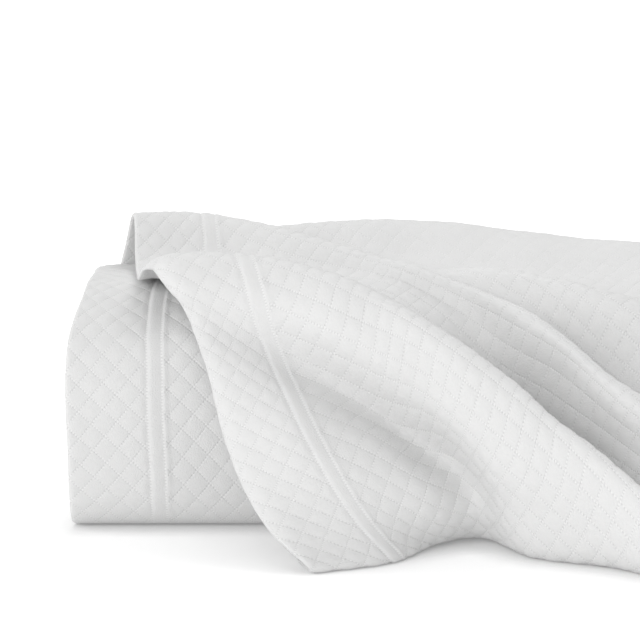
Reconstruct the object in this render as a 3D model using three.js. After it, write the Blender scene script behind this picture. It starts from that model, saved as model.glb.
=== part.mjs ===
// Matelasse coverlet, folded into a stack with its last layer thrown open.
// Units are millimetres, +Z is up, the coverlet rests on Z = 0 and its front faces -Y.
// The whole object is one length of quilted cloth. Seen from the side its path is: a strip
// turned under on the floor, the foot, the front drape with its folds on the bias, the hollow
// fold at the back, the stack's top layer, the rounded front, the bottom layer, and then
// back and forth between them.
import * as THREE from 'three';

// Cloth
const THICKNESS = 3;
const DIAMOND_WIDTH = 22;
const DIAMOND_HEIGHT = 23;
const QUILT_RISE = 1.2;
const DIAMONDS_ACROSS = 24;
const HEM_TUCK_COLUMN = 7;
const HEM_TUCK_RISE = 1.5;

// A cell is half a diamond each way, so that every crossing of two quilting lines and every
// diamond's middle is a point of the grid.
const CELL_WIDTH = DIAMOND_WIDTH / 2;
const CELL_HEIGHT = DIAMOND_HEIGHT / 2;
const FINE_CELLS = DIAMONDS_ACROSS * 2;
const COARSE_CELLS = DIAMONDS_ACROSS;
const CLOTH_WIDTH = DIAMONDS_ACROSS * DIAMOND_WIDTH;

// Stack
const STACK_DEPTH = 252;
const STACK_BACK_Z = 199;
const STACK_BACK_LEAN = 24;
const ROW_RISE = 0.1;
const ROW_RISE_START = 150;
const ROW_RISE_END = 120;
const CURL_WIDTH = 60;
const INNER_LAYERS = 10;
const INNER_THICKNESS = 16;
const INNER_FLAT_START = 60;
const INNER_GAP = 3;
const INNER_LEAN = 6;
const INNER_TAPER = 40;
const BACK_TURN_INSET = 19;
const FRONT_TURN_INSET = 27;
const FACE_END_INSET = 9;
const TURN_ANGLES = [-60, -30, 0, 30, 60];

// Drape
const DRAPE_ROWS = 54;
const TURN_UNDER_ROWS = 4;
const TURN_UNDER_REACH = [0, 9, 20, 31, 42];
const TURN_UNDER_SETTLE = 12;
const DRAPE_LENGTH = DRAPE_ROWS * CELL_HEIGHT;
const BEND_SOFTNESS = 12;
const SAG_START = 390;
const SAG_FULL = 430;
const SAG_SHARE = 1.5;
const STACK_CLEARANCE = 6.5;
const STACK_ROUNDING = 4;
const LIFT_START = 20;
const OUTLINE_STEPS = 90;
const HEM_ROLL_WIDTH = 20;
const HEM_ROLL_DROP = 6;
const HEM_ROLL_START = 170;
const HEM_ROLL_FULL = 240;
const HEM_ROLL_FADE = 60;
const HEM_ROLL_END = 10;

// The origin, in the frame of the tables below, is at the middle of the footprint.
const ORIGIN = new THREE.Vector3(319.9, 36.7, 0);

// Where the drape's tables have their columns: distance from the left hem along the cloth.
const HEM_DISTANCE = [0, 75, 142, 191, 248, 330, 424, 528];

// One row for each fold line of the drape, from the back to the foot. Each entry is the
// place of that line, [x, y, z], at the distance from the hem of its column.
const FOLDS = [
  { name: 'rear wall', at: [[33, 236, 231], [104, 237, 231], [172, 214, 243], [219, 214, 248],
    [274, 214, 248], [354, 213, 242], [446, 209, 230], [568, 208, 219]] },
  { name: 'first hollow', at: [[35, 229, 240], [105, 231, 239], [178, 196, 233], [231, 172, 222],
    [290, 142, 214], [371, 100, 211], [463, 50, 199], [577, 60, 200]] },
  { name: 'short ridge', at: [[37, 223, 247], [106, 225, 246], [181, 189, 235], [237, 159, 222],
    [296, 118, 214], [379, 45, 221], [466, -4, 209], [584, 0, 160]] },
  { name: 'second hollow', at: [[38, 218, 252], [107, 218, 251], [183, 185, 240], [241, 153, 226],
    [301, 100, 214], [386, 20, 188], [474, -14, 134], [578, -62, 92]] },
  { name: 'back ridge', at: [[40, 212, 256], [109, 211, 254], [184, 174, 245], [243, 138, 232],
    [303, 74, 224], [387, -25, 201], [471, -88, 140], [572, -125, 68]] },
  { name: 'upper trough', at: [[46, 165, 221], [116, 163, 216], [195, 125, 213], [258, 95, 209],
    [317, 48, 200], [402, -24, 145], [490, -90, 74], [590, -138, 44]] },
  { name: 'lower trough', at: [[58, 70, 218], [136, 55, 212], [212, 42, 198], [273, 14, 182],
    [328, -10, 134], [414, -44, 66], [508, -120, 34], [602, -148, 28]] },
  { name: 'front ridge', at: [[70, 25, 239], [149, 15, 243], [222, -14, 233], [278, -46, 212],
    [340, -74, 176], [422, -110, 116], [528, -153, 38], [614, -158, 17]] },
  { name: 'front panel', at: [[82, 8, 218], [161, -13, 213], [248, -50, 178], [307, -70, 139],
    [364, -96, 93], [439, -120, 62], [529, -160, 22], [622, -163, 12]] },
  { name: 'front valley', at: [[102, 2, 197], [172, -12, 171], [276, -30, 99], [342, -42, 55],
    [379, -80, 34], [449, -116, 30], [529, -166, 13], [628, -166, 10]] },
  { name: 'lobe crest', at: [[118, -22, 161], [191, -50, 133], [287, -74, 80], [347, -50, 38],
    [384, -82, 18], [453, -116, 16], [530, -169, 10], [633, -169, 9]] },
  { name: 'lobe middle', at: [[139, -62, 89], [221, -90, 83], [299, -80, 54], [351, -47, 29],
    [386, -80, 11], [455, -112, 10], [530, -171, 8], [637, -172, 7.5]] },
  { name: 'lobe low', at: [[175, -104, 35], [254, -97, 32], [311, -64, 24], [354, -41, 22],
    [388, -77, 7], [456, -111, 7], [530, -172.5, 6.5], [639, -174, 6]] },
  { name: 'foot', at: [[211, -125, 3], [279, -92, 3], [318, -43, 6], [355, -38, 16],
    [389, -75, 3], [457, -110, 3], [530, -173, 3], [641, -175, 3]] },
];

// Length of cloth from the back fold to these lines, at the same columns. On the middle
// columns both crests run along a quilting line.
const CLOTH_TO_RIDGE = {
  'back ridge': [58, 68, 102.5, 153.7, 213.3, 299, 396, 490],
  'front ridge': [268, 282, 332.5, 383.7, 443.3, 529, 586, 600],
};

// Sideways part of the direction in which the strip under the foot is turned, at the same
// columns.
const TURN_UNDER_SIDEWAYS = [-0.3, 0, 0, 0, 0, -0.2, -0.45, -0.85];

// Section of the stack's outer layer, from the back fold over the top, down the rounded front
// and back along the floor. lean moves the hem sideways, curl draws only its edge in.
const STACK_SECTION = [
  { y: STACK_DEPTH, z: STACK_BACK_Z, lean: STACK_BACK_LEAN, curl: 0 },
  { y: 200, z: 203, lean: 10, curl: -2 },
  { y: 150, z: 205, lean: 6, curl: 3 },
  { y: 100, z: 204, lean: 0, curl: 9 },
  { y: 60, z: 196, lean: -2, curl: 10 },
  { y: 30, z: 183, lean: -2, curl: 6 },
  { y: 14, z: 169, lean: -2, curl: 3 },
  { y: 4, z: 142, lean: -1, curl: 0 },
  { y: 0, z: 112, lean: -1, curl: 0 },
  { y: 0, z: 80, lean: 0, curl: 0 },
  { y: 3, z: 50, lean: 1, curl: -1 },
  { y: 11, z: 24, lean: 1, curl: -1 },
  { y: 27, z: 4.5, lean: 1, curl: -1 },
  { y: 44, z: THICKNESS / 2, lean: 2, curl: 0 },
  { y: 60, z: THICKNESS / 2, lean: 3, curl: 0 },
  { y: 150, z: THICKNESS / 2, lean: 5, curl: 0 },
  { y: STACK_DEPTH - BACK_TURN_INSET, z: THICKNESS / 2, lean: INNER_LEAN, curl: 0 },
];
const TOP_END_ROW = 4;
const FLOOR_ROW = 13;

// Cubic through values at uneven knots, with slopes from the neighbouring values.
// Each value is an array of numbers, and the result is such an array at q.
function smooth(knots, values, q) {
  const last = knots.length - 1;
  const slope = (i, k) => (values[i + 1][k] - values[i][k]) / (knots[i + 1] - knots[i]);
  const tangent = (i, k) => {
    if (i === 0) return slope(0, k);
    if (i === last) return slope(last - 1, k);
    const before = knots[i] - knots[i - 1];
    const after = knots[i + 1] - knots[i];
    return (slope(i - 1, k) * after + slope(i, k) * before) / (before + after);
  };
  let i = 0;
  while (i < last - 1 && q >= knots[i + 1]) i += 1;
  const step = knots[i + 1] - knots[i];
  const t = (q - knots[i]) / step;
  return values[i].map((start, k) => (1 + 2 * t) * (1 - t) ** 2 * start
    + t * (1 - t) ** 2 * step * tangent(i, k)
    + t * t * (3 - 2 * t) * values[i + 1][k]
    + t * t * (t - 1) * step * tangent(i + 1, k));
}

// Straight-line interpolation of numbers at uneven knots.
function between(knots, values, q) {
  let i = 0;
  while (i < knots.length - 2 && q >= knots[i + 1]) i += 1;
  const t = (q - knots[i]) / (knots[i + 1] - knots[i]);
  return values[i] + t * (values[i + 1] - values[i]);
}

// Running length along a list of points.
function runningLength(points) {
  const lengths = [0];
  for (let i = 1; i < points.length; i += 1) {
    const gaps = points[i].map((value, k) => value - points[i - 1][k]);
    lengths.push(lengths[i - 1] + Math.hypot(...gaps));
  }
  return lengths;
}

// Points [y, z, lean, curl] of the whole stack: the outer layer, and then the inner layers
// back and forth. They share the height between the bottom layer and the top layer evenly.
function stackPath() {
  const outer = STACK_SECTION.map((row) => [row.y, row.z, row.lean, row.curl]);
  const top = STACK_SECTION.slice(0, TOP_END_ROW + 2).reverse();
  const front = STACK_SECTION.slice(TOP_END_ROW, FLOOR_ROW + 1).reverse();
  const topZ = (y) => between(top.map((row) => row.y), top.map((row) => row.z), y);
  const frontY = (z) => between(front.map((row) => row.z), front.map((row) => row.y), z);
  const backY = STACK_DEPTH - BACK_TURN_INSET;
  const layerZ = (layer, y) => {
    if (layer === 0) return THICKNESS / 2;
    const lowest = THICKNESS + INNER_GAP + INNER_THICKNESS / 2;
    const roof = topZ(Math.max(y, INNER_FLAT_START)) - THICKNESS / 2;
    const highest = roof - INNER_GAP - INNER_THICKNESS / 2;
    return lowest + (layer - 1) / (INNER_LAYERS - 1) * (highest - lowest);
  };
  const inner = [];
  const turn = (layer, y, side) => {
    const low = layerZ(layer, y);
    const high = layerZ(layer + 1, y);
    const radius = (high - low) / 2;
    for (const angle of TURN_ANGLES) {
      const a = THREE.MathUtils.degToRad(angle);
      inner.push([y + side * radius * Math.cos(a), low + radius + radius * Math.sin(a),
        INNER_LEAN, 0]);
    }
    inner.push([y, high, INNER_LEAN, 0]);
    const runOut = y - side * INNER_TAPER / 2;
    inner.push([runOut, layerZ(layer + 1, runOut), INNER_LEAN, 0]);
  };
  turn(0, backY, 1);
  for (let layer = 1; layer <= INNER_LAYERS; layer += 1) {
    const goesForward = layer % 2 === 1;
    const upper = goesForward ? layer + 1 : layer;
    const [lowZ, highZ] = [upper - 1, upper].map((each) => layerZ(each, INNER_FLAT_START));
    const faceInset = INNER_THICKNESS / 2 + INNER_GAP;
    const frontEnd = Math.max(
      frontY((lowZ + highZ) / 2) + FRONT_TURN_INSET,
      frontY(lowZ - faceInset) + FACE_END_INSET,
      frontY(highZ + faceInset) + FACE_END_INSET);
    const middle = (frontEnd + backY) / 2;
    inner.push([middle, layerZ(layer, middle), INNER_LEAN, 0]);
    const end = goesForward ? frontEnd : backY;
    inner.push([end, layerZ(layer, end), INNER_LEAN, 0]);
    if (layer < INNER_LAYERS) turn(layer, end, goesForward ? -1 : 1);
  }
  return outer.concat(inner);
}

const STACK_PATH = stackPath();
const STACK_LENGTHS = runningLength(STACK_PATH.map(([y, z]) => [y, z]));
const FRONT_END = STACK_LENGTHS[FLOOR_ROW];
const FIRST_TURN_END = STACK_LENGTHS[STACK_SECTION.length + TURN_ANGLES.length];

// Outer section of the stack, from the back fold to the floor, as a list of [y, z].
const OUTLINE = Array.from({ length: OUTLINE_STEPS + 1 }, (unused, step) => (
  smooth(STACK_LENGTHS, STACK_PATH, step / OUTLINE_STEPS * FRONT_END)));

// One section of the drape across its folds: the folds' places at one distance from the hem,
// the running length along them, and the cloth length at which three of them lie.
const sections = new Map();
function drapeSection(u) {
  const key = u.toFixed(4);
  if (!sections.has(key)) {
    const start = [STACK_BACK_LEAN + u, STACK_DEPTH, STACK_BACK_Z];
    const points = [start, ...FOLDS.map((fold) => smooth(HEM_DISTANCE, fold.at, u))];
    const lengths = runningLength(points);
    const at = (name) => lengths[FOLDS.findIndex((fold) => fold.name === name) + 1];
    const cloth = (name) => smooth(HEM_DISTANCE, CLOTH_TO_RIDGE[name].map((v) => [v]), u)[0];
    sections.set(key, {
      points,
      lengths,
      clothKnots: [0, cloth('back ridge'), cloth('front ridge'), DRAPE_LENGTH],
      lengthKnots: [0, at('back ridge'), at('front ridge'), at('foot')],
    });
  }
  return sections.get(key);
}

// The larger of two numbers, rounded off where they are close to each other.
function softMax(a, b, rounding) {
  const gap = THREE.MathUtils.clamp(a - b, -rounding, rounding);
  return Math.max(a, b) + (rounding - Math.abs(gap)) ** 2 / (4 * rounding);
}

// Moves a place [y, z] of the drape outwards from the stack's section, so that the drape rests
// on the stack instead of sinking into it.
function liftOffStack(y, z, strength) {
  let nearest = Infinity;
  let lift = [0, 0];
  for (let i = 1; i < OUTLINE.length; i += 1) {
    const [startY, startZ] = OUTLINE[i - 1];
    const [alongY, alongZ] = [OUTLINE[i][0] - startY, OUTLINE[i][1] - startZ];
    const length = Math.hypot(alongY, alongZ);
    const share = ((y - startY) * alongY + (z - startZ) * alongZ) / length ** 2;
    const t = THREE.MathUtils.clamp(share, 0, 1);
    const [awayY, awayZ] = [y - startY - t * alongY, z - startZ - t * alongZ];
    const distance = Math.hypot(awayY, awayZ);
    if (distance < nearest) {
      nearest = distance;
      const [outY, outZ] = [alongZ / length, -alongY / length];
      const outside = awayY * outY + awayZ * outZ;
      const push = softMax(outside, STACK_CLEARANCE, STACK_ROUNDING) - outside;
      lift = [outY * push * strength, outZ * push * strength];
    }
  }
  return [y + lift[0], z + lift[1]];
}

// Place of the drape's folds at u and v. The cloth is too stiff for a sharp crease, so the
// place is the mean of three places along it, with the middle one counted twice.
function foldPlace(u, v) {
  const section = drapeSection(u);
  const reach = Math.min(BEND_SOFTNESS, v, DRAPE_LENGTH - v);
  const places = [v - reach, v, v, v + reach].map((at) => smooth(
    section.lengths, section.points, between(section.clothKnots, section.lengthKnots, at)));
  return [0, 1, 2].map((axis) => places.reduce((sum, place) => sum + place[axis], 0) / 4);
}

// Point of the drape at u from the hem and v from the back fold. Past the foot the cloth is
// turned under and lies on the floor.
function drapePoint(u, v) {
  const [x, foldY, foldZ] = foldPlace(u, Math.min(v, DRAPE_LENGTH));
  const [y, z] = liftOffStack(foldY, foldZ, THREE.MathUtils.smoothstep(v, 0, LIFT_START));
  const past = Math.max(v - DRAPE_LENGTH, 0);
  if (past === 0) return new THREE.Vector3(x, y, z);
  const rows = TURN_UNDER_REACH.map((reach, row) => row * CELL_HEIGHT);
  const reach = between(rows, TURN_UNDER_REACH, past);
  const sideways = between(HEM_DISTANCE, TURN_UNDER_SIDEWAYS, u);
  const height = THICKNESS / 2 + (z - THICKNESS / 2) * Math.exp(-past / TURN_UNDER_SETTLE);
  return new THREE.Vector3(
    x + reach * sideways, y + reach * Math.sqrt(1 - sideways ** 2), height);
}

// Point of the stack at u from the hem and w from the back fold. On the front the quilting
// rows climb a little towards the right.
function stackPoint(u, w) {
  const fade = THREE.MathUtils.smoothstep(w, 0, ROW_RISE_START)
    * (1 - THREE.MathUtils.smoothstep(w, FRONT_END - ROW_RISE_END, FRONT_END));
  const [y, z, lean, curl] = smooth(STACK_LENGTHS, STACK_PATH, w - ROW_RISE * u * fade);
  const edge = Math.max(1 - u / CURL_WIDTH, 0) ** 2;
  return new THREE.Vector3(u + lean + curl * edge, y, z);
}

// Middle of the cloth: w is negative on the drape and positive on the stack.
function clothPoint(u, w) {
  return w < 0 ? drapePoint(u, -w) : stackPoint(u, w);
}

// Half the thickness: the inner layers are four plies each.
function halfThickness(w) {
  const inner = THREE.MathUtils.smoothstep(w, FIRST_TURN_END, FIRST_TURN_END + INNER_TAPER);
  return THREE.MathUtils.lerp(THICKNESS, INNER_THICKNESS, inner) / 2;
}

// Unit normal of the cloth, up on the drape and inwards on the stack.
function clothNormal(u, w) {
  const h = 1;
  const left = clothPoint(Math.max(u - h, 0), w);
  const right = clothPoint(Math.min(u + h, CLOTH_WIDTH), w);
  const along = clothPoint(u, w + h).sub(clothPoint(u, w - h));
  return right.sub(left).cross(along).normalize();
}

// Quilting: crossings of the lines stay low and the diamonds' middles stand up. The hem's
// double row of stitches holds a raised tuck.
function quiltRise(column, row) {
  if (column === HEM_TUCK_COLUMN) return HEM_TUCK_RISE;
  return (column + row) % 2 === 0 ? 0 : QUILT_RISE;
}

// In a hollow the large facets of the drape's underside would rise through the cloth, so on
// the hanging front its points are set lower there, by a share of the rise around them.
function hollowSag(u, w, normal) {
  const hanging = THREE.MathUtils.smoothstep(-w, SAG_START, SAG_FULL);
  if (hanging === 0) return 0;
  const here = clothPoint(u, w);
  const steps = [[CELL_WIDTH, 0], [-CELL_WIDTH, 0], [0, CELL_HEIGHT], [0, -CELL_HEIGHT]];
  const rises = steps.map(([across, along]) => clothPoint(
    THREE.MathUtils.clamp(u + across, 0, CLOTH_WIDTH), Math.min(w + along, 0),
  ).sub(here).dot(normal));
  return SAG_SHARE * hanging * Math.max(rises.reduce((sum, rise) => sum + rise, 0), 0);
}

// The edge of the drape rolls over along the hem.
function hemRoll(u, w) {
  const onDrape = THREE.MathUtils.smoothstep(-w, HEM_ROLL_START, HEM_ROLL_FULL)
    * (1 - THREE.MathUtils.smoothstep(-w, DRAPE_LENGTH - HEM_ROLL_FADE, DRAPE_LENGTH - HEM_ROLL_END));
  return HEM_ROLL_DROP * onDrape * Math.max(1 - u / HEM_ROLL_WIDTH, 0) ** 2;
}

// Mesh being built
const positions = [];
const triangles = [];

// A row of points across the cloth on one of its faces. side is 1 or -1, cells the number of
// steps, quilted tells if the diamonds are raised.
function addRow(w, side, cells, quilted) {
  const gridRow = Math.round(Math.abs(w) / CELL_HEIGHT);
  const row = { indices: [], shares: [] };
  for (let step = 0; step <= cells; step += 1) {
    const share = step / cells;
    const u = share * CLOTH_WIDTH;
    const normal = clothNormal(u, w);
    const rise = quilted ? quiltRise(Math.round(u / CELL_WIDTH), gridRow) : 0;
    const sag = side < 0 ? hollowSag(u, w, normal) : 0;
    const offset = side * (halfThickness(w) + rise + sag) - hemRoll(u, w);
    const point = clothPoint(u, w).addScaledVector(normal, offset).sub(ORIGIN);
    row.indices.push(positions.length / 3);
    row.shares.push(share);
    positions.push(point.x, point.y, Math.max(point.z, 0));
  }
  return { ...row, w, cells, quilted, gridRow };
}

function addTriangle(a, b, c, flip) {
  triangles.push(...(flip ? [a, c, b] : [a, b, c]));
}

// Joins two neighbouring rows or edges, whose points may be spaced differently, by always
// stepping on where the next point comes first.
function join(first, second, flip) {
  let i = 0;
  let j = 0;
  const a = first.indices;
  const b = second.indices;
  while (i < a.length - 1 || j < b.length - 1) {
    const stepFirst = j === b.length - 1
      || (i < a.length - 1 && first.shares[i + 1] <= second.shares[j + 1]);
    if (stepFirst) {
      addTriangle(a[i], a[i + 1], b[j], flip);
      i += 1;
    } else {
      addTriangle(a[i], b[j + 1], b[j], flip);
      j += 1;
    }
  }
}

// Joins two quilted rows so that each triangle's long edge lies on a quilting line.
function joinQuilted(first, second, flip) {
  for (let i = 0; i < first.cells; i += 1) {
    const [a, b] = [first.indices[i], first.indices[i + 1]];
    const [c, d] = [second.indices[i], second.indices[i + 1]];
    if ((i + first.gridRow) % 2 === 0) {
      addTriangle(a, b, d, flip);
      addTriangle(a, d, c, flip);
    } else {
      addTriangle(a, b, c, flip);
      addTriangle(b, d, c, flip);
    }
  }
}

// One face of the cloth, from a list of { w, cells, quilted }.
function addFace(rows, side) {
  const made = rows.map((row) => addRow(row.w, side, row.cells, row.quilted));
  for (let i = 1; i < made.length; i += 1) {
    const quilted = made[i - 1].quilted && made[i].quilted;
    (quilted ? joinQuilted : join)(made[i - 1], made[i], side < 0);
  }
  return made;
}

// A side edge of a face, as a list of points with their place along the cloth.
function sideEdge(rows, pick) {
  return { indices: rows.map((row) => row.indices.at(pick)), shares: rows.map((row) => row.w) };
}

// Rows of cloth, every so many cells, between two grid rows.
function gridRows(from, to, step, cells, quilted) {
  const rows = [];
  for (let row = from; step > 0 ? row <= to : row >= to; row += step) {
    rows.push({ w: row * CELL_HEIGHT, cells, quilted });
  }
  return rows;
}

function buildCoverlet() {
  const floorRow = Math.floor(FRONT_END / CELL_HEIGHT / 2) * 2;
  const topRow = Math.ceil(STACK_LENGTHS[3] / CELL_HEIGHT / 2) * 2;
  const endRow = -DRAPE_ROWS - TURN_UNDER_ROWS;
  const innerRows = [...STACK_LENGTHS.slice(STACK_SECTION.length - 1), FIRST_TURN_END + INNER_TAPER]
    .sort((a, b) => a - b)
    .map((w) => ({ w, cells: 1, quilted: false }));
  const plainStack = [
    ...gridRows(2, floorRow, 2, COARSE_CELLS, false),
    { w: FRONT_END, cells: COARSE_CELLS, quilted: false },
    ...innerRows,
  ];
  const shownStack = [
    ...gridRows(2, topRow - 2, 2, COARSE_CELLS, false),
    ...gridRows(topRow, floorRow, 1, FINE_CELLS, true),
    { w: FRONT_END, cells: COARSE_CELLS, quilted: false },
    ...innerRows,
  ];
  const upper = addFace([
    ...gridRows(endRow, -DRAPE_ROWS - 2, 2, COARSE_CELLS, false),
    ...gridRows(-DRAPE_ROWS, 0, 1, FINE_CELLS, true),
    ...plainStack,
  ], 1);
  const under = addFace([
    ...gridRows(endRow, 0, 2, COARSE_CELLS, false),
    ...shownStack,
  ], -1);
  join(sideEdge(upper, 0), sideEdge(under, 0), false);
  join(sideEdge(upper, -1), sideEdge(under, -1), true);
  join(upper[0], under[0], true);
  join(upper.at(-1), under.at(-1), false);
  const geometry = new THREE.BufferGeometry();
  geometry.setAttribute('position', new THREE.Float32BufferAttribute(positions, 3));
  geometry.setIndex(triangles);
  return geometry;
}

const cotton = new THREE.MeshStandardMaterial({ color: 0xf6f6f4, roughness: 0.9, metalness: 0 });
const coverlet = new THREE.Mesh(buildCoverlet(), cotton);
coverlet.name = 'coverlet';

const part = new THREE.Group();
part.add(coverlet);

export default part;
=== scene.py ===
"""Matelasse coverlet, folded into a stack with its last layer thrown open over the front.

Lengths in the tables are millimetres in the tables' own frame, and the meshes are metres in
the part's frame. The cloth has two coordinates: u, the distance from the left hem, and w, the
distance from the back fold, negative on the hanging layer and positive in the stack.
"""

import math

import bpy
import numpy as np
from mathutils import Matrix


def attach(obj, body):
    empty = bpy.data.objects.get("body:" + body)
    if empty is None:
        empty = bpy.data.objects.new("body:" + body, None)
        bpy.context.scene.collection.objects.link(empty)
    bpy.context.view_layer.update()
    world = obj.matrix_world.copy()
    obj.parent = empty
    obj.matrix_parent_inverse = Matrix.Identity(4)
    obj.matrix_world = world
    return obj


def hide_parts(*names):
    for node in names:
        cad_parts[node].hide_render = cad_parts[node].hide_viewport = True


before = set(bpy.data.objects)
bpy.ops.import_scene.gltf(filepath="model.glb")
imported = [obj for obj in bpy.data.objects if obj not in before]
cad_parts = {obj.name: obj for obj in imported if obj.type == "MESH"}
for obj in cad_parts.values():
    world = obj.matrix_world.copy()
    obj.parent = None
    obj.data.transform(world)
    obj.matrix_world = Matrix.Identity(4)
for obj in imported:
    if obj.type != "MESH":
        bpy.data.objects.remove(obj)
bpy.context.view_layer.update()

# Cloth
THICKNESS = 3.0
DIAMOND_WIDTH = 22.0
DIAMOND_HEIGHT = 23.0
DIAMONDS_ACROSS = 24
CLOTH_WIDTH = DIAMONDS_ACROSS * DIAMOND_WIDTH
DRAPE_LENGTH = 27 * DIAMOND_HEIGHT
TURN_UNDER_LENGTH = 2 * DIAMOND_HEIGHT
CELLS_A_DIAMOND = 8
EDGE_ROUNDING = 4.0
EDGE_SHARE = 0.35
RELAX_PASSES = 8

# Quilting, and where it is pulled flatter: away from the hem (u) and near the fold (v)
QUILT_RISE = 1.0
QUILT_ROUNDNESS = 0.6
QUILT_START = 20
LAYER_QUILT_RISE = 0.9
FLAT_SHARE = 0.6
FLAT_U = (150.0, 300.0)
FLAT_V = (90.0, 250.0)

# Soft unevenness
WAVES = 9
WAVE_LENGTHS = (60, 170)
DRAPE_SEED = 5
FRONT_SEED = 8
FADE_START = 10
FADE_FULL = 80
FRONT_FADE = (90, 20)
FRONT_QUILT_FADE = (60, 10)

# Hem, with where the diamonds give way to it and where its own height ends
HEM_RISE = 0.5
HEM_STITCHES = (70.0, 83.0)
HEM_TUCK_START = 4
HEM_TUCK_END = (1, 6)
HEM_RISE_END = (2, 8)
PLAIN_BEFORE_STITCHES = 2
PLAIN_AFTER_STITCHES = 3
HEM_ROLL_WIDTH = 20.0
HEM_ROLL_DROP = 6.0
HEM_ROLL_START = 170.0
HEM_ROLL_FULL = 240.0
HEM_ROLL_FADE = 60.0
HEM_ROLL_END = 10.0
CREST_ROLL_DROP = 4.0
CREST_ROLL_PLACE = 262.0
CREST_ROLL_SPREAD = 50.0
PUCKER_SHARE = 0.25
PUCKER_LENGTHS = (2.1, 5.3)

# Section across the hem's double row of stitches: distance from the hem, height
HEM_SECTION = np.array([
    (64, 0), (68, -0.1), (70, -0.5), (72, 0.8), (74, 1.1), (77, 0.9), (80, 0.5),
    (83, 0), (84.6, 0.9), (86, 0.6), (88.5, -0.25), (92, -0.1), (96, 0),
], float)

# Stack
STACK_DEPTH = 252.0
STACK_BACK_Z = 199.0
STACK_BACK_LEAN = 24.0
ROW_RISE = 0.1
ROW_RISE_START = 150.0
ROW_RISE_END = 120.0
CURL_WIDTH = 60.0
INNER_LAYERS = 10
INNER_THICKNESS = 16.0
INNER_FLAT_START = 60.0
INNER_GAP = 3.0
INNER_LEAN = 6.0
INNER_TAPER = 40.0
BACK_TURN_INSET = 19.0
FRONT_TURN_INSET = 27.0
FACE_END_INSET = 9.0
TURN_ANGLES = (-60, -30, 0, 30, 60)
LAYER_ROW_STEP = 6.6
PLY_INSETS = (2.2, 0.6, 3.0, 1.2)
PLIES = len(PLY_INSETS)
PLY_FULLNESS = 0.94
PLY_EDGE_POINTS = 5
LAYER_COLUMNS_A_DIAMOND = 4
BEND_SOFTNESS = 12.0
STACK_CLEARANCE = 6.5
STACK_ROUNDING = 4.0
LIFT_START = 20.0
OUTLINE_STEPS = 90

# Sideways shift of the inner layers along the path: amount, length, phase
LAYER_SHIFTS = [(2.0, 97, 0), (1.5, 41, 1)]

# Middle of the footprint, in the tables' frame
ORIGIN = np.array([319.9, 36.7, 0.0])

# Columns of the drape's tables: distance from the left hem
HEM_DISTANCE = np.array([0, 75, 142, 191, 248, 330, 424, 528], float)

# One row for each fold line of the drape, from the back to the foot, with [x, y, z] at each
# distance from the hem.
FOLDS = {
    "rear wall": [(33, 236, 231), (104, 237, 231), (172, 214, 243), (219, 214, 248),
                  (274, 214, 248), (354, 213, 242), (446, 209, 230), (568, 208, 219)],
    "first hollow": [(35, 229, 240), (105, 231, 239), (178, 196, 233), (231, 172, 222),
                     (290, 142, 214), (371, 100, 211), (463, 50, 199), (577, 60, 200)],
    "short ridge": [(37, 223, 247), (106, 225, 246), (181, 189, 235), (237, 159, 222),
                    (296, 118, 214), (379, 45, 221), (466, -4, 209), (584, 0, 160)],
    "second hollow": [(38, 218, 252), (107, 218, 251), (183, 185, 240), (241, 153, 226),
                      (301, 100, 214), (386, 20, 188), (474, -14, 134), (578, -62, 92)],
    "back ridge": [(40, 212, 256), (109, 211, 254), (184, 174, 245), (243, 138, 232),
                   (303, 74, 224), (387, -25, 201), (471, -88, 140), (572, -125, 68)],
    "upper trough": [(46, 165, 221), (116, 163, 216), (195, 125, 213), (258, 95, 209),
                     (317, 48, 200), (402, -24, 145), (490, -90, 74), (590, -138, 44)],
    "lower trough": [(58, 70, 218), (136, 55, 212), (212, 42, 198), (273, 14, 182),
                     (328, -10, 134), (414, -44, 66), (508, -120, 34), (602, -148, 28)],
    "front ridge": [(70, 25, 239), (149, 15, 243), (222, -14, 233), (278, -46, 212),
                    (340, -74, 176), (422, -110, 116), (528, -153, 38), (614, -158, 17)],
    "front panel": [(82, 8, 218), (161, -13, 213), (248, -50, 178), (307, -70, 139),
                    (364, -96, 93), (439, -120, 62), (529, -160, 22), (622, -163, 12)],
    "front valley": [(102, 2, 197), (172, -12, 171), (276, -30, 99), (342, -42, 55),
                     (379, -80, 34), (449, -116, 30), (529, -166, 13), (628, -166, 10)],
    "lobe crest": [(118, -22, 161), (191, -50, 133), (287, -74, 80), (347, -50, 38),
                   (384, -82, 18), (453, -116, 16), (530, -169, 10), (633, -169, 9)],
    "lobe middle": [(139, -62, 89), (221, -90, 83), (299, -80, 54), (351, -47, 29),
                    (386, -80, 11), (455, -112, 10), (530, -171, 8), (637, -172, 7.5)],
    "lobe low": [(175, -104, 35), (254, -97, 32), (311, -64, 24), (354, -41, 22),
                 (388, -77, 7), (456, -111, 7), (530, -172.5, 6.5), (639, -174, 6)],
    "foot": [(211, -125, 3), (279, -92, 3), (318, -43, 6), (355, -38, 16),
             (389, -75, 3), (457, -110, 3), (530, -173, 3), (641, -175, 3)],
}
FOLD_NAMES = list(FOLDS)

# Length of cloth from the back fold to these lines
CLOTH_TO_RIDGE = {
    "back ridge": [58, 68, 102.5, 153.7, 213.3, 299, 396, 490],
    "front ridge": [268, 282, 332.5, 383.7, 443.3, 529, 586, 600],
}

# Strip turned under at the foot
TURN_UNDER_SIDEWAYS = [-0.3, 0, 0, 0, 0, -0.2, -0.45, -0.85]
TURN_UNDER_REACH = np.array([0, 9, 20, 31, 42], float)
TURN_UNDER_SETTLE = 12.0

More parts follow.
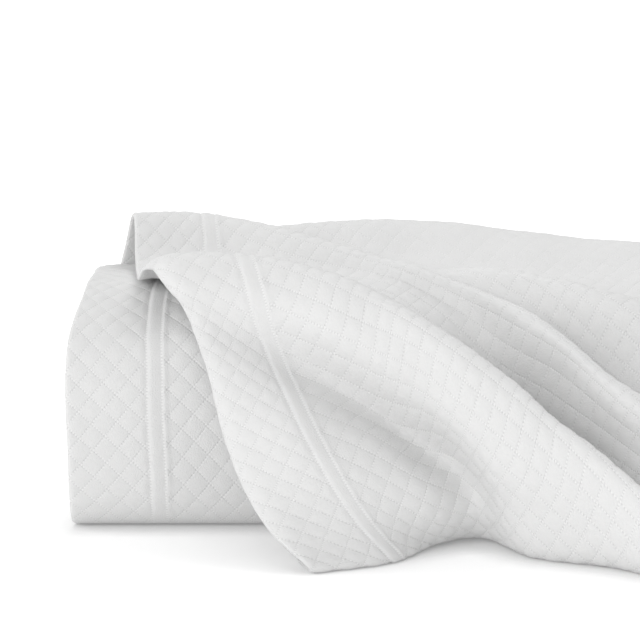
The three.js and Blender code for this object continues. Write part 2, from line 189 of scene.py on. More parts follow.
# Section of the stack's outer layer: y, z, lean, curl
STACK_SECTION = [
    (STACK_DEPTH, STACK_BACK_Z, STACK_BACK_LEAN, 0),
    (200, 203, 10, -2),
    (150, 205, 6, 3),
    (100, 204, 0, 9),
    (60, 196, -2, 10),
    (30, 183, -2, 6),
    (14, 169, -2, 3),
    (4, 142, -1, 0),
    (0, 112, -1, 0),
    (0, 80, 0, 0),
    (3, 50, 1, -1),
    (11, 24, 1, -1),
    (27, 4.5, 1, -1),
    (44, THICKNESS / 2, 2, 0),
    (60, THICKNESS / 2, 3, 0),
    (150, THICKNESS / 2, 5, 0),
    (STACK_DEPTH - BACK_TURN_INSET, THICKNESS / 2, INNER_LEAN, 0),
]
TOP_END_ROW = 4
FLOOR_ROW = 13

# Cotton
CLOTH_COLOUR = (0.68, 0.68, 0.678, 1)
# Painted highlight on the stitches, lighter than the cloth
STITCH_HIGHLIGHT_COLOUR = (0.74, 0.74, 0.738, 1)
# Painted shade in the dips between the stitches, darker than the cloth
DIP_SHADE_COLOUR = (0.62, 0.62, 0.618, 1)
STITCH_LENGTH = 2.7
STITCH_HALF_WIDTH = 0.7
STITCH_RISE = 0.06
STITCH_WAVE = (-0.4, 0.6)
DIP_WAVE = (-0.2, -0.9)
LINE_DEPTH = 0.3
LINE_HALF_WIDTH = 1.3
GRAIN_A_MILLIMETRE = 0.8
GRAIN_DETAIL = 2.0
GRAIN_RISE = 0.45
BUMP_UNIT = 0.001
COTTON_ROUGHNESS = 0.92
COTTON_SPECULAR = 0.15
COTTON_SHEEN = 0.12
COTTON_SHEEN_ROUGHNESS = 0.6

# Floor, in metres
FLOOR_CORNERS = [(-30, -6, 0), (30, -6, 0), (30, 60, 0), (-30, 60, 0)]
FLOOR_WHITE = 0.95
# Painted contact shadow on the floor, darker where the cloth closes it in
CONTACT_REACH = 0.03
CONTACT_CLOSED = 0.2
CONTACT_SAMPLES = 4
CONTACT_SHADE = 0.72

# Soft suns: azimuth, elevation and spread in degrees, and strength
SUNS = {
    "key": (-30, 26, 40, 1.15),
    "side": (-100, 20, 30, 0.5),
    "back": (150, 55, 40, 1.05),
}

# Studio
AMBIENT = 0.64
BACKDROP = 1.05
FLOOR_GLOW = 0.2

# Camera, in the tables' frame
CAMERA_PLACE = np.array([217.0, -1775.3, 485.1])
CAMERA_TILT = 80.5
CAMERA_LENS = 119.1
CAMERA_SENSOR = 36


def smoothstep(x, low, high):
    """3t^2 - 2t^3, with t running from 0 at low to 1 at high."""
    t = np.clip((x - low) / (high - low), 0, 1)
    return t * t * (3 - 2 * t)


def find_interval(knots, q):
    """Number of the interval of knots (n, c) in which each q (m, c) lies."""
    passed = (q[None] >= knots[1:-1, None]).sum(axis=0)
    return np.clip(passed, 0, len(knots) - 2)


def rows_at(table, index):
    """Rows index (m, c) of a table (n, c) or (n, c, k), chosen in each column on its own."""
    index = index.reshape(index.shape + (1,) * (table.ndim - index.ndim))
    return np.take_along_axis(table, index, 0)


def smooth(knots, values, q):
    """Cubic Hermite curve through values (n, c, k) at uneven knots (n, c), at q (m, c).

    The slope at a knot is the mean of the two neighbouring chords' slopes, weighted by the
    other chord's length. c is 1 or the number of columns.
    """
    columns = q.shape[1]
    knots = np.broadcast_to(knots, (len(knots), columns))
    values = np.broadcast_to(values, (len(values), columns, values.shape[2]))
    step = np.diff(knots, axis=0)[..., None]
    slope = np.diff(values, axis=0) / step
    inner = (slope[:-1] * step[1:] + slope[1:] * step[:-1]) / (step[:-1] + step[1:])
    tangent = np.concatenate([slope[:1], inner, slope[-1:]])
    i = find_interval(knots, q)
    start, end = rows_at(knots, i), rows_at(knots, i + 1)
    width = (end - start)[..., None]
    t = (q - start)[..., None] / width
    return ((1 + 2 * t) * (1 - t) ** 2 * rows_at(values, i)
            + t * (1 - t) ** 2 * width * rows_at(tangent, i)
            + t * t * (3 - 2 * t) * rows_at(values, i + 1)
            + t * t * (t - 1) * width * rows_at(tangent, i + 1))


def between(knots, values, q):
    """Straight lines through values (n, c) at knots (n, c), at q (m, c)."""
    i = find_interval(knots, q)
    start, end = rows_at(knots, i), rows_at(knots, i + 1)
    low, high = rows_at(values, i), rows_at(values, i + 1)
    return low + (q - start) / (end - start) * (high - low)


def running_length(points):
    """Length along the first axis of points (n, ..., k), starting at 0."""
    steps = np.linalg.norm(np.diff(points, axis=0), axis=-1)
    return np.concatenate([np.zeros((1,) + steps.shape[1:]), np.cumsum(steps, axis=0)])


def stack_path():
    """Points (y, z, lean, curl) of the stack: the outer layer, then the inner ones.

    The inner layers share the height between the bottom layer and the top layer evenly, and
    each turn is a half circle between two layers.
    """
    outer = [tuple(map(float, row)) for row in STACK_SECTION]
    top = np.array(outer[:TOP_END_ROW + 2])[::-1]
    front = np.array(outer[TOP_END_ROW:FLOOR_ROW + 1])[::-1]
    back_y = STACK_DEPTH - BACK_TURN_INSET

    def layer_z(layer, y):
        if layer == 0:
            return THICKNESS / 2
        lowest = THICKNESS + INNER_GAP + INNER_THICKNESS / 2
        roof = np.interp(max(y, INNER_FLAT_START), top[:, 0], top[:, 1]) - THICKNESS / 2
        highest = roof - INNER_GAP - INNER_THICKNESS / 2
        return lowest + (layer - 1) / (INNER_LAYERS - 1) * (highest - lowest)

    def front_y(z):
        return np.interp(z, front[:, 1], front[:, 0])

    inner = []

    def turn(layer, y, side):
        low, high = layer_z(layer, y), layer_z(layer + 1, y)
        radius = (high - low) / 2
        for angle in TURN_ANGLES:
            a = math.radians(angle)
            inner.append((y + side * radius * math.cos(a),
                          low + radius + radius * math.sin(a), INNER_LEAN, 0))
        run_out = y - side * INNER_TAPER / 2
        inner.append((y, high, INNER_LEAN, 0))
        inner.append((run_out, layer_z(layer + 1, run_out), INNER_LEAN, 0))

    turn(0, back_y, 1)
    for layer in range(1, INNER_LAYERS + 1):
        forward = layer % 2 == 1
        upper = layer + 1 if forward else layer
        low_z, high_z = (layer_z(each, INNER_FLAT_START) for each in (upper - 1, upper))
        inset = INNER_THICKNESS / 2 + INNER_GAP
        front_end = max(front_y((low_z + high_z) / 2) + FRONT_TURN_INSET,
                        front_y(low_z - inset) + FACE_END_INSET,
                        front_y(high_z + inset) + FACE_END_INSET)
        middle = (front_end + back_y) / 2
        inner.append((middle, layer_z(layer, middle), INNER_LEAN, 0))
        end = front_end if forward else back_y
        inner.append((end, layer_z(layer, end), INNER_LEAN, 0))
        if layer < INNER_LAYERS:
            turn(layer, end, -1 if forward else 1)
    return np.array(outer + inner)


STACK_PATH = stack_path()
STACK_LENGTHS = running_length(STACK_PATH[:, :2])
FRONT_END = STACK_LENGTHS[FLOOR_ROW]
OUTER_END = STACK_LENGTHS[len(STACK_SECTION) - 1]
FIRST_TURN_END = STACK_LENGTHS[len(STACK_SECTION) + len(TURN_ANGLES)]
STACK_END = STACK_LENGTHS[-1]


def along_stack(w):
    """Points (m, c, 4) of the stack's path at w (m, c)."""
    return smooth(STACK_LENGTHS[:, None], STACK_PATH[:, None], w)


OUTLINE = along_stack(np.linspace(0, FRONT_END, OUTLINE_STEPS + 1)[:, None])[:, 0, :2]


def lift_off_stack(points, strength):
    """Moves points out from the stack's outline (y, z), so that cloth rests on it.

    With d the distance outside the outline, c the clearance and r the rounding, the new
    distance is max(d, c) + (r - min(|d - c|, r))^2 / 4r.
    """
    yz = points[..., 1:]
    nearest = np.full(yz.shape[:-1], np.inf)
    lift = np.zeros_like(yz)
    for start, end in zip(OUTLINE[:-1], OUTLINE[1:]):
        along = end - start
        length = np.hypot(*along)
        share = np.clip((yz - start) @ along / length ** 2, 0, 1)
        away = yz - start - share[..., None] * along
        distance = np.linalg.norm(away, axis=-1)
        out = np.array([along[1], -along[0]]) / length
        outside = away @ out
        gap = np.clip(np.abs(outside - STACK_CLEARANCE), 0, STACK_ROUNDING)
        rounded = np.maximum(outside, STACK_CLEARANCE)
        rounded = rounded + (STACK_ROUNDING - gap) ** 2 / (4 * STACK_ROUNDING)
        closer = distance < nearest
        nearest = np.where(closer, distance, nearest)
        push = ((rounded - outside) * strength)[..., None] * out
        lift = np.where(closer[..., None], push, lift)
    moved = points.copy()
    moved[..., 1:] += lift
    return moved


def drape_middle(u, v):
    """Middle of the hanging layer, (m, c, 3), at u (c,) and distance v (m,) past the fold.

    Across its folds it is a cubic through the fold lines at their running length, and the
    cloth's length is spread between the back fold, the two ridges and the foot. Creases are
    rounded: each place is the mean of three along the cloth, the middle one counted twice.
    """
    table = np.array([FOLDS[name] for name in FOLD_NAMES], float)
    flat = table.transpose(1, 0, 2).reshape(len(HEM_DISTANCE), 1, -1)
    folds = smooth(HEM_DISTANCE[:, None], flat, u[:, None])[:, 0]
    folds = folds.reshape(len(u), len(FOLD_NAMES), 3).transpose(1, 0, 2)
    fold_back = np.stack([STACK_BACK_LEAN + u, np.full_like(u, STACK_DEPTH),
                          np.full_like(u, STACK_BACK_Z)], axis=-1)[None]
    points = np.concatenate([fold_back, folds])
    lengths = running_length(points)
    ridges = np.array([CLOTH_TO_RIDGE["back ridge"], CLOTH_TO_RIDGE["front ridge"]], float).T
    ridges = smooth(HEM_DISTANCE[:, None], ridges[:, None], u[:, None])[:, 0].T
    cloth_knots = np.stack([np.zeros_like(u), *ridges, np.full_like(u, DRAPE_LENGTH)])
    rows = [0, FOLD_NAMES.index("back ridge") + 1, FOLD_NAMES.index("front ridge") + 1, -1]
    q = np.broadcast_to(np.minimum(v, DRAPE_LENGTH)[:, None], (len(v), len(u)))
    reach = np.minimum(BEND_SOFTNESS, np.minimum(q, DRAPE_LENGTH - q))
    before, middle, after = (
        smooth(lengths, points, between(cloth_knots, lengths[rows], at))
        for at in (q - reach, q, q + reach))
    middle = (before + 2 * middle + after) / 4
    middle = lift_off_stack(middle, smoothstep(v, 0, LIFT_START)[:, None])
    past = np.maximum(v - DRAPE_LENGTH, 0)[:, None]
    reach = np.interp(past, np.arange(len(TURN_UNDER_REACH)) * DIAMOND_HEIGHT / 2,
                      TURN_UNDER_REACH)
    sideways = np.interp(u, HEM_DISTANCE, TURN_UNDER_SIDEWAYS)[None]
    middle[..., 0] += reach * sideways
    middle[..., 1] += reach * np.sqrt(1 - sideways ** 2)
    settled = THICKNESS / 2 + (middle[..., 2] - THICKNESS / 2) * np.exp(-past / TURN_UNDER_SETTLE)
    middle[..., 2] = np.where(past > 0, settled, middle[..., 2])
    return middle


def stack_middle(u, w):
    """Middle of the cloth in the stack, (m, c, 3), at u (c,) and w (m,)."""
    fade = smoothstep(w, 0, ROW_RISE_START)
    fade = fade * (1 - smoothstep(w, FRONT_END - ROW_RISE_END, FRONT_END))
    place = along_stack(w[:, None] - ROW_RISE * u[None] * fade[:, None])
    edge = np.clip(1 - u / CURL_WIDTH, 0, None) ** 2
    x = u + place[..., 2] + place[..., 3] * edge
    return np.stack([x, place[..., 0], place[..., 1]], axis=-1)


def relax(grid, passes):
    """Rounds off creases: each point moves to the mean of itself and its neighbours.

    The grid is continued in a straight line past its edges, so they stay in place.
    """
    for _ in range(passes):
        for axis in (0, 1):
            moved = np.moveaxis(grid, axis, 0)
            before = np.concatenate([2 * moved[:1] - moved[1:2], moved[:-1]])
            after = np.concatenate([moved[1:], 2 * moved[-1:] - moved[-2:-1]])
            moved = (before + 2 * moved + after) / 4
            grid = np.moveaxis(moved, 0, axis)
    return grid


def normals(grid):
    """Unit normals of a grid of points: across the columns, cross along the rows."""
    across = np.gradient(grid, axis=1)
    along = np.gradient(grid, axis=0)
    normal = np.cross(across, along)
    return normal / np.linalg.norm(normal, axis=-1, keepdims=True)


def diamond_pillow(u, w):
    """Height from 0 on the quilting lines to 1 in the diamonds' middles.

    a and b count the two families of lines; with r the roundness, the height is
    (|sin pi a| |sin pi b|)^r.
    """
    a = u / DIAMOND_WIDTH + w / DIAMOND_HEIGHT
    b = u / DIAMOND_WIDTH - w / DIAMOND_HEIGHT
    return np.abs(np.sin(np.pi * a) * np.sin(np.pi * b)) ** QUILT_ROUNDNESS


def uneven(u, w, seed):
    """Soft unevenness of the cloth, about -1 to 1: a sum of sine waves in all directions."""
    random = np.random.default_rng(seed)
    total = np.zeros(np.broadcast_shapes(u.shape, w.shape))
    for _ in range(WAVES):
        angle, phase = random.uniform(0, 2 * np.pi, 2)
        length = random.uniform(*WAVE_LENGTHS)
        turn = 2 * np.pi / length
        total += np.sin(turn * (math.cos(angle) * u + math.sin(angle) * w) + phase)
    return total / math.sqrt(WAVES)


def cloth_place(u, w):
    """Cloth coordinates of a grid of points, counted in diamonds across and along."""
    grid = np.broadcast_arrays(u[None] / DIAMOND_WIDTH, w[:, None] / DIAMOND_HEIGHT)
    return np.stack(grid, axis=-1).reshape(-1, 2)


def make_piece(name, points, faces, place):
    """Object from points in the tables' frame, its faces, and its cloth coordinates.

    Points that would sink into the floor are put on it.
    """
    points = points.reshape(-1, 3).copy()
    points[:, 2] = np.maximum(points[:, 2], 0)
    mesh = bpy.data.meshes.new(name)
    mesh.from_pydata(((points - ORIGIN) / 1000).tolist(), [], faces)
    layer = mesh.uv_layers.new(name="cloth")
    corners = np.empty(len(mesh.loops), int)
    mesh.loops.foreach_get("vertex_index", corners)
    layer.data.foreach_set("uv", place[corners].ravel())
    mesh.polygons.foreach_set("use_smooth", np.ones(len(mesh.polygons), bool))
    mesh.update()
    piece = bpy.data.objects.new(name, mesh)
    bpy.context.scene.collection.objects.link(piece)
    return piece


def sheet_object(name, middle, over, under, u, w):
    """Closed mesh of a sheet: middle (m, c, 3) moved along its normals by over and under."""
    rows, columns = middle.shape[:2]
    normal = normals(middle)
    points = np.concatenate([middle + normal * over[..., None],
                             middle - normal * under[..., None]])
    top = np.arange(rows * columns).reshape(rows, columns)
    low = top + rows * columns

    def quads(a, b, c, d):
        return np.stack([a, b, c, d], axis=-1).reshape(-1, 4)

    faces = np.concatenate([
        quads(top[:-1, :-1], top[:-1, 1:], top[1:, 1:], top[1:, :-1]),
        quads(low[:-1, :-1], low[1:, :-1], low[1:, 1:], low[:-1, 1:]),
        quads(top[:-1, 0], top[1:, 0], low[1:, 0], low[:-1, 0]),
        quads(top[:-1, -1], low[:-1, -1], low[1:, -1], top[1:, -1]),
        quads(top[0, :-1], low[0, :-1], low[0, 1:], top[0, 1:]),
        quads(top[-1, :-1], top[-1, 1:], low[-1, 1:], low[-1, :-1]),
    ])
    place = cloth_place(u, w)
    return make_piece(name, points, faces.tolist(), np.concatenate([place, place]))


def edge_pinch(u):
    """Share of the thickness near the two edges: a quarter circle up from the edge's share."""
    inside = np.clip(np.minimum(u, CLOTH_WIDTH - u) / EDGE_ROUNDING, 0, 1)
    return EDGE_SHARE + (1 - EDGE_SHARE) * np.sqrt(np.clip(1 - (1 - inside) ** 2, 0, 1))


def quilt_relief(u, w):
    """Height in mm over the plain cloth: diamonds, and the puckered stitches along the hem.

    The diamonds are pulled flatter near the back fold, away from the hem, and end at the
    stitches, where the hem's section takes over. The hem itself is doubled and so stands
    higher.
    """
    first, second = HEM_STITCHES
    tuck = smoothstep(u, first - HEM_TUCK_START, first)
    tuck = tuck * (1 - smoothstep(u, *(second + end for end in HEM_TUCK_END)))
    flat = FLAT_SHARE * smoothstep(u, *FLAT_U) * (1 - smoothstep(np.abs(w), *FLAT_V))
    diamonds = QUILT_RISE * (1 - flat) * diamond_pillow(u, w)
    hem = HEM_RISE * (1 - smoothstep(u, *(second + end for end in HEM_RISE_END)))
    section = np.interp(u, *HEM_SECTION.T)
    short, long = PUCKER_LENGTHS
    pucker = 1 + PUCKER_SHARE * np.sin(w / short) * np.sin(w / long + 1)
    return diamonds * (1 - tuck) + section * pucker + hem


def hem_roll(u, v):
    """Drop in mm of the rolled hem: the square of the nearness to the edge.

    It is deepest where the hem passes over the front ridge.
    """
    down = smoothstep(v, HEM_ROLL_START, HEM_ROLL_FULL)
    down = down * (1 - smoothstep(v, DRAPE_LENGTH - HEM_ROLL_FADE, DRAPE_LENGTH - HEM_ROLL_END))
    crest = CREST_ROLL_DROP * np.exp(-((v - CREST_ROLL_PLACE) / CREST_ROLL_SPREAD) ** 2)
    return (HEM_ROLL_DROP * down + crest) * np.clip(1 - u / HEM_ROLL_WIDTH, 0, None) ** 2


def hem_columns():
    """Distances u of the columns: eight a diamond, and three times as many at the stitches."""
    step = DIAMOND_WIDTH / CELLS_A_DIAMOND
    u = np.arange(DIAMONDS_ACROSS * CELLS_A_DIAMOND + 1) * step
    at_hem = u[(u > HEM_STITCHES[0] - step) & (u < HEM_STITCHES[1] + 2 * step)]
    return np.sort(np.concatenate([u, at_hem + step / 3, at_hem + 2 * step / 3]))


def at_columns(grid, u):
    """Straight lines between the even columns of a grid of points, at u."""
    place = u / DIAMOND_WIDTH * CELLS_A_DIAMOND
    i = np.minimum(place.astype(int), grid.shape[1] - 2)
    share = (place - i)[None, :, None]
    return grid[:, i] * (1 - share) + grid[:, i + 1] * share


def build_drape():
    """The hanging layer, from the strip turned under to the back fold."""
    even = np.linspace(0, CLOTH_WIDTH, DIAMONDS_ACROSS * CELLS_A_DIAMOND + 1)
    length = DRAPE_LENGTH + TURN_UNDER_LENGTH
    steps = round(length / DIAMOND_HEIGHT * CELLS_A_DIAMOND)
    w = -np.linspace(length, 0, steps + 1)
    u = hem_columns()
    middle = at_columns(relax(drape_middle(even, -w), RELAX_PASSES), u)
    uu, ww = u[None], w[:, None]
    fade = smoothstep(-ww, FADE_START, FADE_FULL)
    fade = fade * (1 - smoothstep(-ww, DRAPE_LENGTH - FADE_FULL, DRAPE_LENGTH))
    moved = fade * uneven(uu, ww, DRAPE_SEED) - hem_roll(uu, -ww)
    middle = middle + normals(middle) * moved[..., None]
    plain = np.broadcast_to(THICKNESS / 2 * edge_pinch(uu), middle.shape[:2])
    shown = smoothstep(-ww, 0, QUILT_START) * (1 - smoothstep(-ww, DRAPE_LENGTH, length))
    over = plain + shown * quilt_relief(uu, ww) * edge_pinch(uu)
    return sheet_object("coverlet_drape", middle, over, plain, u, w)


def build_outer_stack():
    """The stack's top layer, its rounded front and its bottom layer."""
    u = hem_columns()
    w = np.linspace(0, OUTER_END, round(OUTER_END / DIAMOND_HEIGHT * CELLS_A_DIAMOND))
    middle = stack_middle(u, w)
    uu, ww = u[None], w[:, None]
    fade = smoothstep(ww, FADE_START, FADE_FULL)
    fade = fade * (1 - smoothstep(ww, *(FRONT_END - before for before in FRONT_FADE)))
    middle = middle - normals(middle) * (fade * uneven(uu, ww, FRONT_SEED))[..., None]
    plain = np.broadcast_to(THICKNESS / 2 * edge_pinch(uu), middle.shape[:2])
    shown = smoothstep(ww, 0, QUILT_START)
    shown = shown * (1 - smoothstep(ww, *(FRONT_END - before for before in FRONT_QUILT_FADE)))
    under = plain + shown * quilt_relief(uu, ww) * edge_pinch(uu)
    return sheet_object("coverlet_front", middle, plain, under, u, w)


def ply_edge(side):
    """Edge of a folded layer as places (u, n), from its top to its bottom.

    n runs from 1 to -1 over the thickness. Each ply ends in half a circle, and the plies
    stand in a little by different amounts.
    """
    angles = np.linspace(0.5, -0.5, PLY_EDGE_POINTS) * np.pi
    radius = INNER_THICKNESS / 2 / PLIES
    places = []
    for ply, inset in enumerate(PLY_INSETS):
        middle = 1 - (2 * ply + 1) / PLIES
        n = middle + PLY_FULLNESS * np.sin(angles) / PLIES
        u = inset + radius - radius * PLY_FULLNESS * np.cos(angles)
        places.append(np.stack([u, n], axis=-1))
    places = np.concatenate(places)
    if side > 0:
        places[:, 0] = CLOTH_WIDTH - places[:, 0]
    return places


def build_layers():
    """The inner layers: a profile of four plies carried along the stack's path.

    The profile runs across the top, down the right edge, back underneath and up the left
    edge, in places (u, n), and is carried along w with half the layer's thickness as its
    scale. Each layer is shifted a little sideways, and its two faces are quilted.
    """
    step = DIAMOND_WIDTH / LAYER_COLUMNS_A_DIAMOND
    across = np.arange(3 * step, CLOTH_WIDTH - 2 * step, step)
    ones = np.ones_like(across)
    profile = np.concatenate([
        np.stack([across, ones], axis=-1), ply_edge(1),
        np.stack([across[::-1], -ones], axis=-1), ply_edge(-1)[::-1]])
    w = [OUTER_END]
    for start, end in zip(STACK_LENGTHS[:-1], STACK_LENGTHS[1:]):
        if start >= OUTER_END:
            steps = max(2, math.ceil((end - start) / LAYER_ROW_STEP))
            w.extend(start + (end - start) * np.arange(1, steps + 1) / steps)
    w = np.array(w)
    path = along_stack(w[:, None])[:, 0]
    along = np.gradient(path[:, :2], axis=0)
    along /= np.linalg.norm(along, axis=1, keepdims=True)
    normal = np.stack([-along[:, 1], along[:, 0]], axis=-1)
    thick = smoothstep(w, FIRST_TURN_END, FIRST_TURN_END + INNER_TAPER)
    half = (THICKNESS + (INNER_THICKNESS - THICKNESS) * thick) / 2
    shift = sum(amount * np.sin(w / length + phase) for amount, length, phase in LAYER_SHIFTS)
    u, n = profile[:, 0], profile[:, 1]
    x = u[None] + path[:, 2:3] + shift[:, None]
    quilted = (np.abs(n) == 1) * thick[:, None]
    rise = LAYER_QUILT_RISE * quilted * diamond_pillow(u[None], w[:, None])
    yz = path[:, None, :2] - normal[:, None] * ((half[:, None] + rise) * n)[..., None]
    points = np.concatenate([x[..., None], yz], axis=-1)
    rows, columns = points.shape[:2]
    index = np.arange(rows * columns).reshape(rows, columns)
    following = np.roll(index, -1, axis=1)
    faces = np.stack([index[:-1], index[1:], following[1:], following[:-1]], axis=-1)
    faces = faces.reshape(-1, 4).tolist()
    caps = [index[0].tolist(), index[-1, ::-1].tolist()]
    return make_piece("coverlet_layers", points, faces + caps, cloth_place(u, w))


class Nodes:
    """Short hand for building a node tree."""

    def __init__(self, tree):
        self.tree = tree

    def add(self, kind, **settings):
        node = self.tree.nodes.new(kind)
        for key, value in settings.items():
            setattr(node, key, value)
        return node

    def feed(self, socket, value):
        if isinstance(value, bpy.types.NodeSocket):
            self.tree.links.new(value, socket)
        elif value is not None:
            socket.default_value = value

    def math(self, operation, a, b=None, c=None):
        node = self.add("ShaderNodeMath", operation=operation)
        for socket, value in zip(node.inputs, (a, b, c)):
            self.feed(socket, value)
        return node.outputs[0]

    def ramp(self, value, low, high, start=0.0, end=1.0):
        node = self.add("ShaderNodeMapRange", interpolation_type="SMOOTHSTEP")
        for socket, number in zip(node.inputs[:5], (value, low, high, start, end)):
            self.feed(socket, number)
        return node.outputs[0]


def quilting_group():
    """Node group: from the cloth's UV, its fine height in mm, and masks of what is stitched.

    The lines of the two families are at whole a = x + y and b = x - y, where x and y count
    the diamonds across and along. Each line is a row of short stitches with dips between.
    """
    group = bpy.data.node_groups.new("quilting", "ShaderNodeTree")
    group.interface.new_socket("UV", in_out="INPUT", socket_type="NodeSocketVector")
    for name in ("Height", "Stitch", "Dip"):
        group.interface.new_socket(name, in_out="OUTPUT", socket_type="NodeSocketFloat")
    n = Nodes(group)
    enter, leave = n.add("NodeGroupInput"), n.add("NodeGroupOutput")
    split = n.add("ShaderNodeSeparateXYZ")
    n.feed(split.inputs[0], enter.outputs[0])
    x, y = split.outputs[0], split.outputs[1]
    u = n.math("MULTIPLY", x, DIAMOND_WIDTH)
    w = n.math("MULTIPLY", y, DIAMOND_HEIGHT)
    side = math.hypot(DIAMOND_WIDTH, DIAMOND_HEIGHT) / 2
    pitch = 1 / math.hypot(1 / DIAMOND_WIDTH, 1 / DIAMOND_HEIGHT)
    a, b = n.math("ADD", x, y), n.math("SUBTRACT", x, y)
    to_a = n.math("MULTIPLY", n.math("PINGPONG", a, 0.5), pitch)
    to_b = n.math("MULTIPLY", n.math("PINGPONG", b, 0.5), pitch)

    first, second = HEM_STITCHES
    tuck = n.math("MULTIPLY", n.ramp(u, first - PLAIN_BEFORE_STITCHES, first),
                  n.ramp(u, second, second + PLAIN_AFTER_STITCHES, 1.0, 0.0))
    to_first = n.math("ABSOLUTE", n.math("SUBTRACT", u, first))
    to_second = n.math("ABSOLUTE", n.math("SUBTRACT", u, second))

    def stitches(distance, along, length):
        """Masks of the stitches and of the dips between them, on a line."""
        on_line = n.ramp(distance, STITCH_HALF_WIDTH * 0.5, STITCH_HALF_WIDTH * 1.5, 1.0, 0.0)
        wave = n.math("SINE", n.math("MULTIPLY", along, 2 * math.pi / length))
        return [n.math("MULTIPLY", on_line, n.ramp(wave, *part)) for part in (STITCH_WAVE, DIP_WAVE)]

    count = round(side / STITCH_LENGTH)
    on_a, dip_a = stitches(to_a, b, 1 / count)
    on_b, dip_b = stitches(to_b, a, 1 / count)
    near_fold = n.ramp(n.math("ABSOLUTE", w), *FLAT_V, FLAT_SHARE, 0.0)
    flat = n.math("MULTIPLY", n.ramp(u, *FLAT_U), near_fold)
    open_cloth = n.math("MULTIPLY", n.math("SUBTRACT", 1.0, tuck), n.math("SUBTRACT", 1.0, flat))
    on_first, dip_first = stitches(to_first, w, STITCH_LENGTH)
    on_second, dip_second = stitches(to_second, w, STITCH_LENGTH)
    stitch = n.math("MAXIMUM", n.math("MULTIPLY", n.math("MAXIMUM", on_a, on_b), open_cloth),
                    n.math("MAXIMUM", on_first, on_second))
    dip = n.math("MAXIMUM", n.math("MULTIPLY", n.math("MAXIMUM", dip_a, dip_b), open_cloth),
                 n.math("MAXIMUM", dip_first, dip_second))

    place = n.add("ShaderNodeCombineXYZ")
    n.feed(place.inputs[0], u)
    n.feed(place.inputs[1], w)
    grain = n.add("ShaderNodeTexNoise", noise_dimensions="2D")
    n.feed(grain.inputs["Vector"], place.outputs[0])
    grain.inputs["Scale"].default_value = GRAIN_A_MILLIMETRE
    grain.inputs["Detail"].default_value = GRAIN_DETAIL
    height = n.math("MULTIPLY", grain.outputs[0], GRAIN_RISE)
    height = n.math("ADD", height, n.math("MULTIPLY", stitch, STITCH_RISE))
    height = n.math("SUBTRACT", height, n.math("MULTIPLY", dip, STITCH_RISE))
    to_line = n.math("MINIMUM", to_a, to_b)
    line = n.math("MULTIPLY", n.ramp(to_line, 0.0, LINE_HALF_WIDTH, 1.0, 0.0), open_cloth)
    height = n.math("SUBTRACT", height, n.math("MULTIPLY", line, LINE_DEPTH))
    for socket, value in zip(leave.inputs, (height, stitch, dip)):
        n.feed(socket, value)
    return group


def cotton_material(quilting):
    """White cotton: matte, faintly sheened, with painted highlight on its stitches and painted shade
    in the dips.
    """
    material = bpy.data.materials.new("white_cotton")
    material.use_nodes = True
    tree = material.node_tree
    n = Nodes(tree)
    shader = tree.nodes["Principled BSDF"]
    uv = n.add("ShaderNodeUVMap", uv_map="cloth")
    stitch = n.add("ShaderNodeGroup", node_tree=quilting)
    n.feed(stitch.inputs["UV"], uv.outputs[0])
    bump = n.add("ShaderNodeBump")
    bump.inputs["Strength"].default_value = 1.0
    bump.inputs["Distance"].default_value = BUMP_UNIT
    n.feed(bump.inputs["Height"], stitch.outputs["Height"])
    n.feed(shader.inputs["Normal"], bump.outputs[0])
    colour = CLOTH_COLOUR
    # Painted highlight on the stitches and painted shade in the dips between them, mixed over the
    # cloth's colour
    for mask, painted_colour in (("Stitch", STITCH_HIGHLIGHT_COLOUR), ("Dip", DIP_SHADE_COLOUR)):
        mix = n.add("ShaderNodeMix", data_type="RGBA")
        n.feed(mix.inputs["Factor"], stitch.outputs[mask])
        n.feed(mix.inputs["A"], colour)
        n.feed(mix.inputs["B"], painted_colour)
        colour = mix.outputs["Result"]
    n.feed(shader.inputs["Base Color"], colour)
    shader.inputs["Roughness"].default_value = COTTON_ROUGHNESS
    shader.inputs["Specular IOR Level"].default_value = COTTON_SPECULAR
    shader.inputs["Sheen Weight"].default_value = COTTON_SHEEN
    shader.inputs["Sheen Roughness"].default_value = COTTON_SHEEN_ROUGHNESS
    return material


def floor_material():
    """White floor that glows a little, with a painted contact shadow: its colour and glow are darker
    where the cloth closes it in.
    """
    material = bpy.data.materials.new("pale_floor")
    material.use_nodes = True
    n = Nodes(material.node_tree)
    shader = material.node_tree.nodes["Principled BSDF"]
    # Painted contact shadow: occlusion darkens the floor's colour and glow near the cloth
    opened = n.add("ShaderNodeAmbientOcclusion", samples=CONTACT_SAMPLES)
    opened.inputs["Distance"].default_value = CONTACT_REACH
    light = n.ramp(opened.outputs["AO"], CONTACT_CLOSED, 1.0, CONTACT_SHADE, 1.0)
    colour = n.add("ShaderNodeCombineColor")
    for channel in colour.inputs:
        n.feed(channel, n.math("MULTIPLY", light, FLOOR_WHITE))
    n.feed(shader.inputs["Base Color"], colour.outputs[0])
    shader.inputs["Roughness"].default_value = 1.0
    shader.inputs["Specular IOR Level"].default_value = 0.0
    shader.inputs["Emission Color"].default_value = (1, 1, 1, 1)
    n.feed(shader.inputs["Emission Strength"], n.math("MULTIPLY", light, FLOOR_GLOW))
    return material


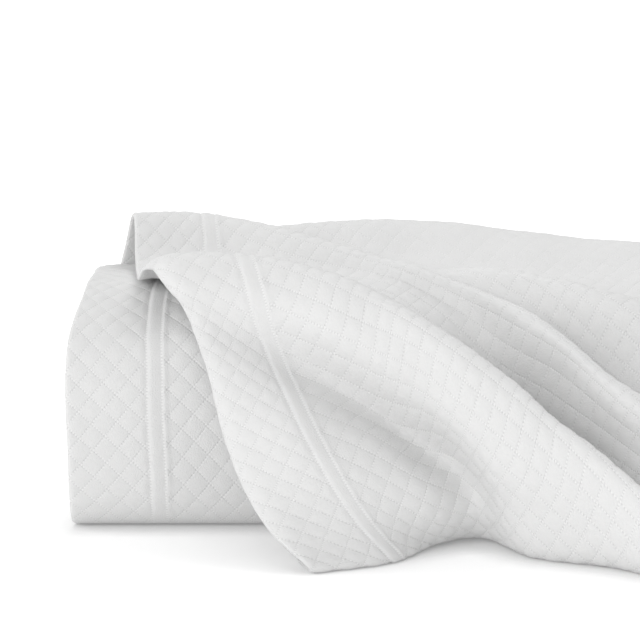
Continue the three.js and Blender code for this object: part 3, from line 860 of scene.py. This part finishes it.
def soft_sun(name, azimuth, elevation, spread, strength):
    """Wide sun lamp that shines from azimuth and elevation, all angles in degrees."""
    data = bpy.data.lights.new(name, "SUN")
    data.angle = math.radians(spread)
    data.energy = strength
    light = bpy.data.objects.new(name, data)
    light.rotation_euler = (math.radians(90 - elevation), 0, math.radians(azimuth))
    bpy.context.scene.collection.objects.link(light)


def studio_world(ambient, backdrop):
    """World that lights the scene with ambient and shows backdrop behind it."""
    world = bpy.data.worlds.new("studio")
    world.use_nodes = True
    tree = world.node_tree
    n = Nodes(tree)
    background = tree.nodes["Background"]
    background.inputs["Color"].default_value = (1, 1, 1, 1)
    seen = n.add("ShaderNodeLightPath").outputs["Is Camera Ray"]
    strength = n.math("MULTIPLY_ADD", seen, backdrop - ambient, ambient)
    n.feed(background.inputs["Strength"], strength)
    return world


# Pieces
cotton = cotton_material(quilting_group())
drape = build_drape()
front = build_outer_stack()
layers = build_layers()
stack_length = (STACK_END - OUTER_END) / 1000
for piece, length, held, rests_on in (
    (drape, (DRAPE_LENGTH + TURN_UNDER_LENGTH) / 1000, "draped", "coverlet_front"),
    (front, OUTER_END / 1000, "folded", "coverlet_layers"),
    (layers, stack_length, "folded", "coverlet_front"),
):
    piece.data.materials.append(cotton)
    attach(piece, "root")
    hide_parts("coverlet")

# Floor
floor_mesh = bpy.data.meshes.new("floor")
floor_mesh.from_pydata(FLOOR_CORNERS, [], [(0, 1, 2, 3)])
floor = bpy.data.objects.new("floor", floor_mesh)
bpy.context.scene.collection.objects.link(floor)
floor.data.materials.append(floor_material())

# Lights
for name, (azimuth, elevation, spread, strength) in SUNS.items():
    soft_sun(name, azimuth, elevation, spread, strength)
bpy.context.scene.world = studio_world(AMBIENT, BACKDROP)
bpy.context.scene.view_settings.view_transform = "Standard"

# Camera
camera_data = bpy.data.cameras.new("camera")
camera_data.lens = CAMERA_LENS
camera_data.sensor_width = CAMERA_SENSOR
camera = bpy.data.objects.new("camera", camera_data)
camera.location = tuple((CAMERA_PLACE - ORIGIN) / 1000)
camera.rotation_euler = (math.radians(CAMERA_TILT), 0, 0)
bpy.context.scene.collection.objects.link(camera)
bpy.context.scene.camera = camera
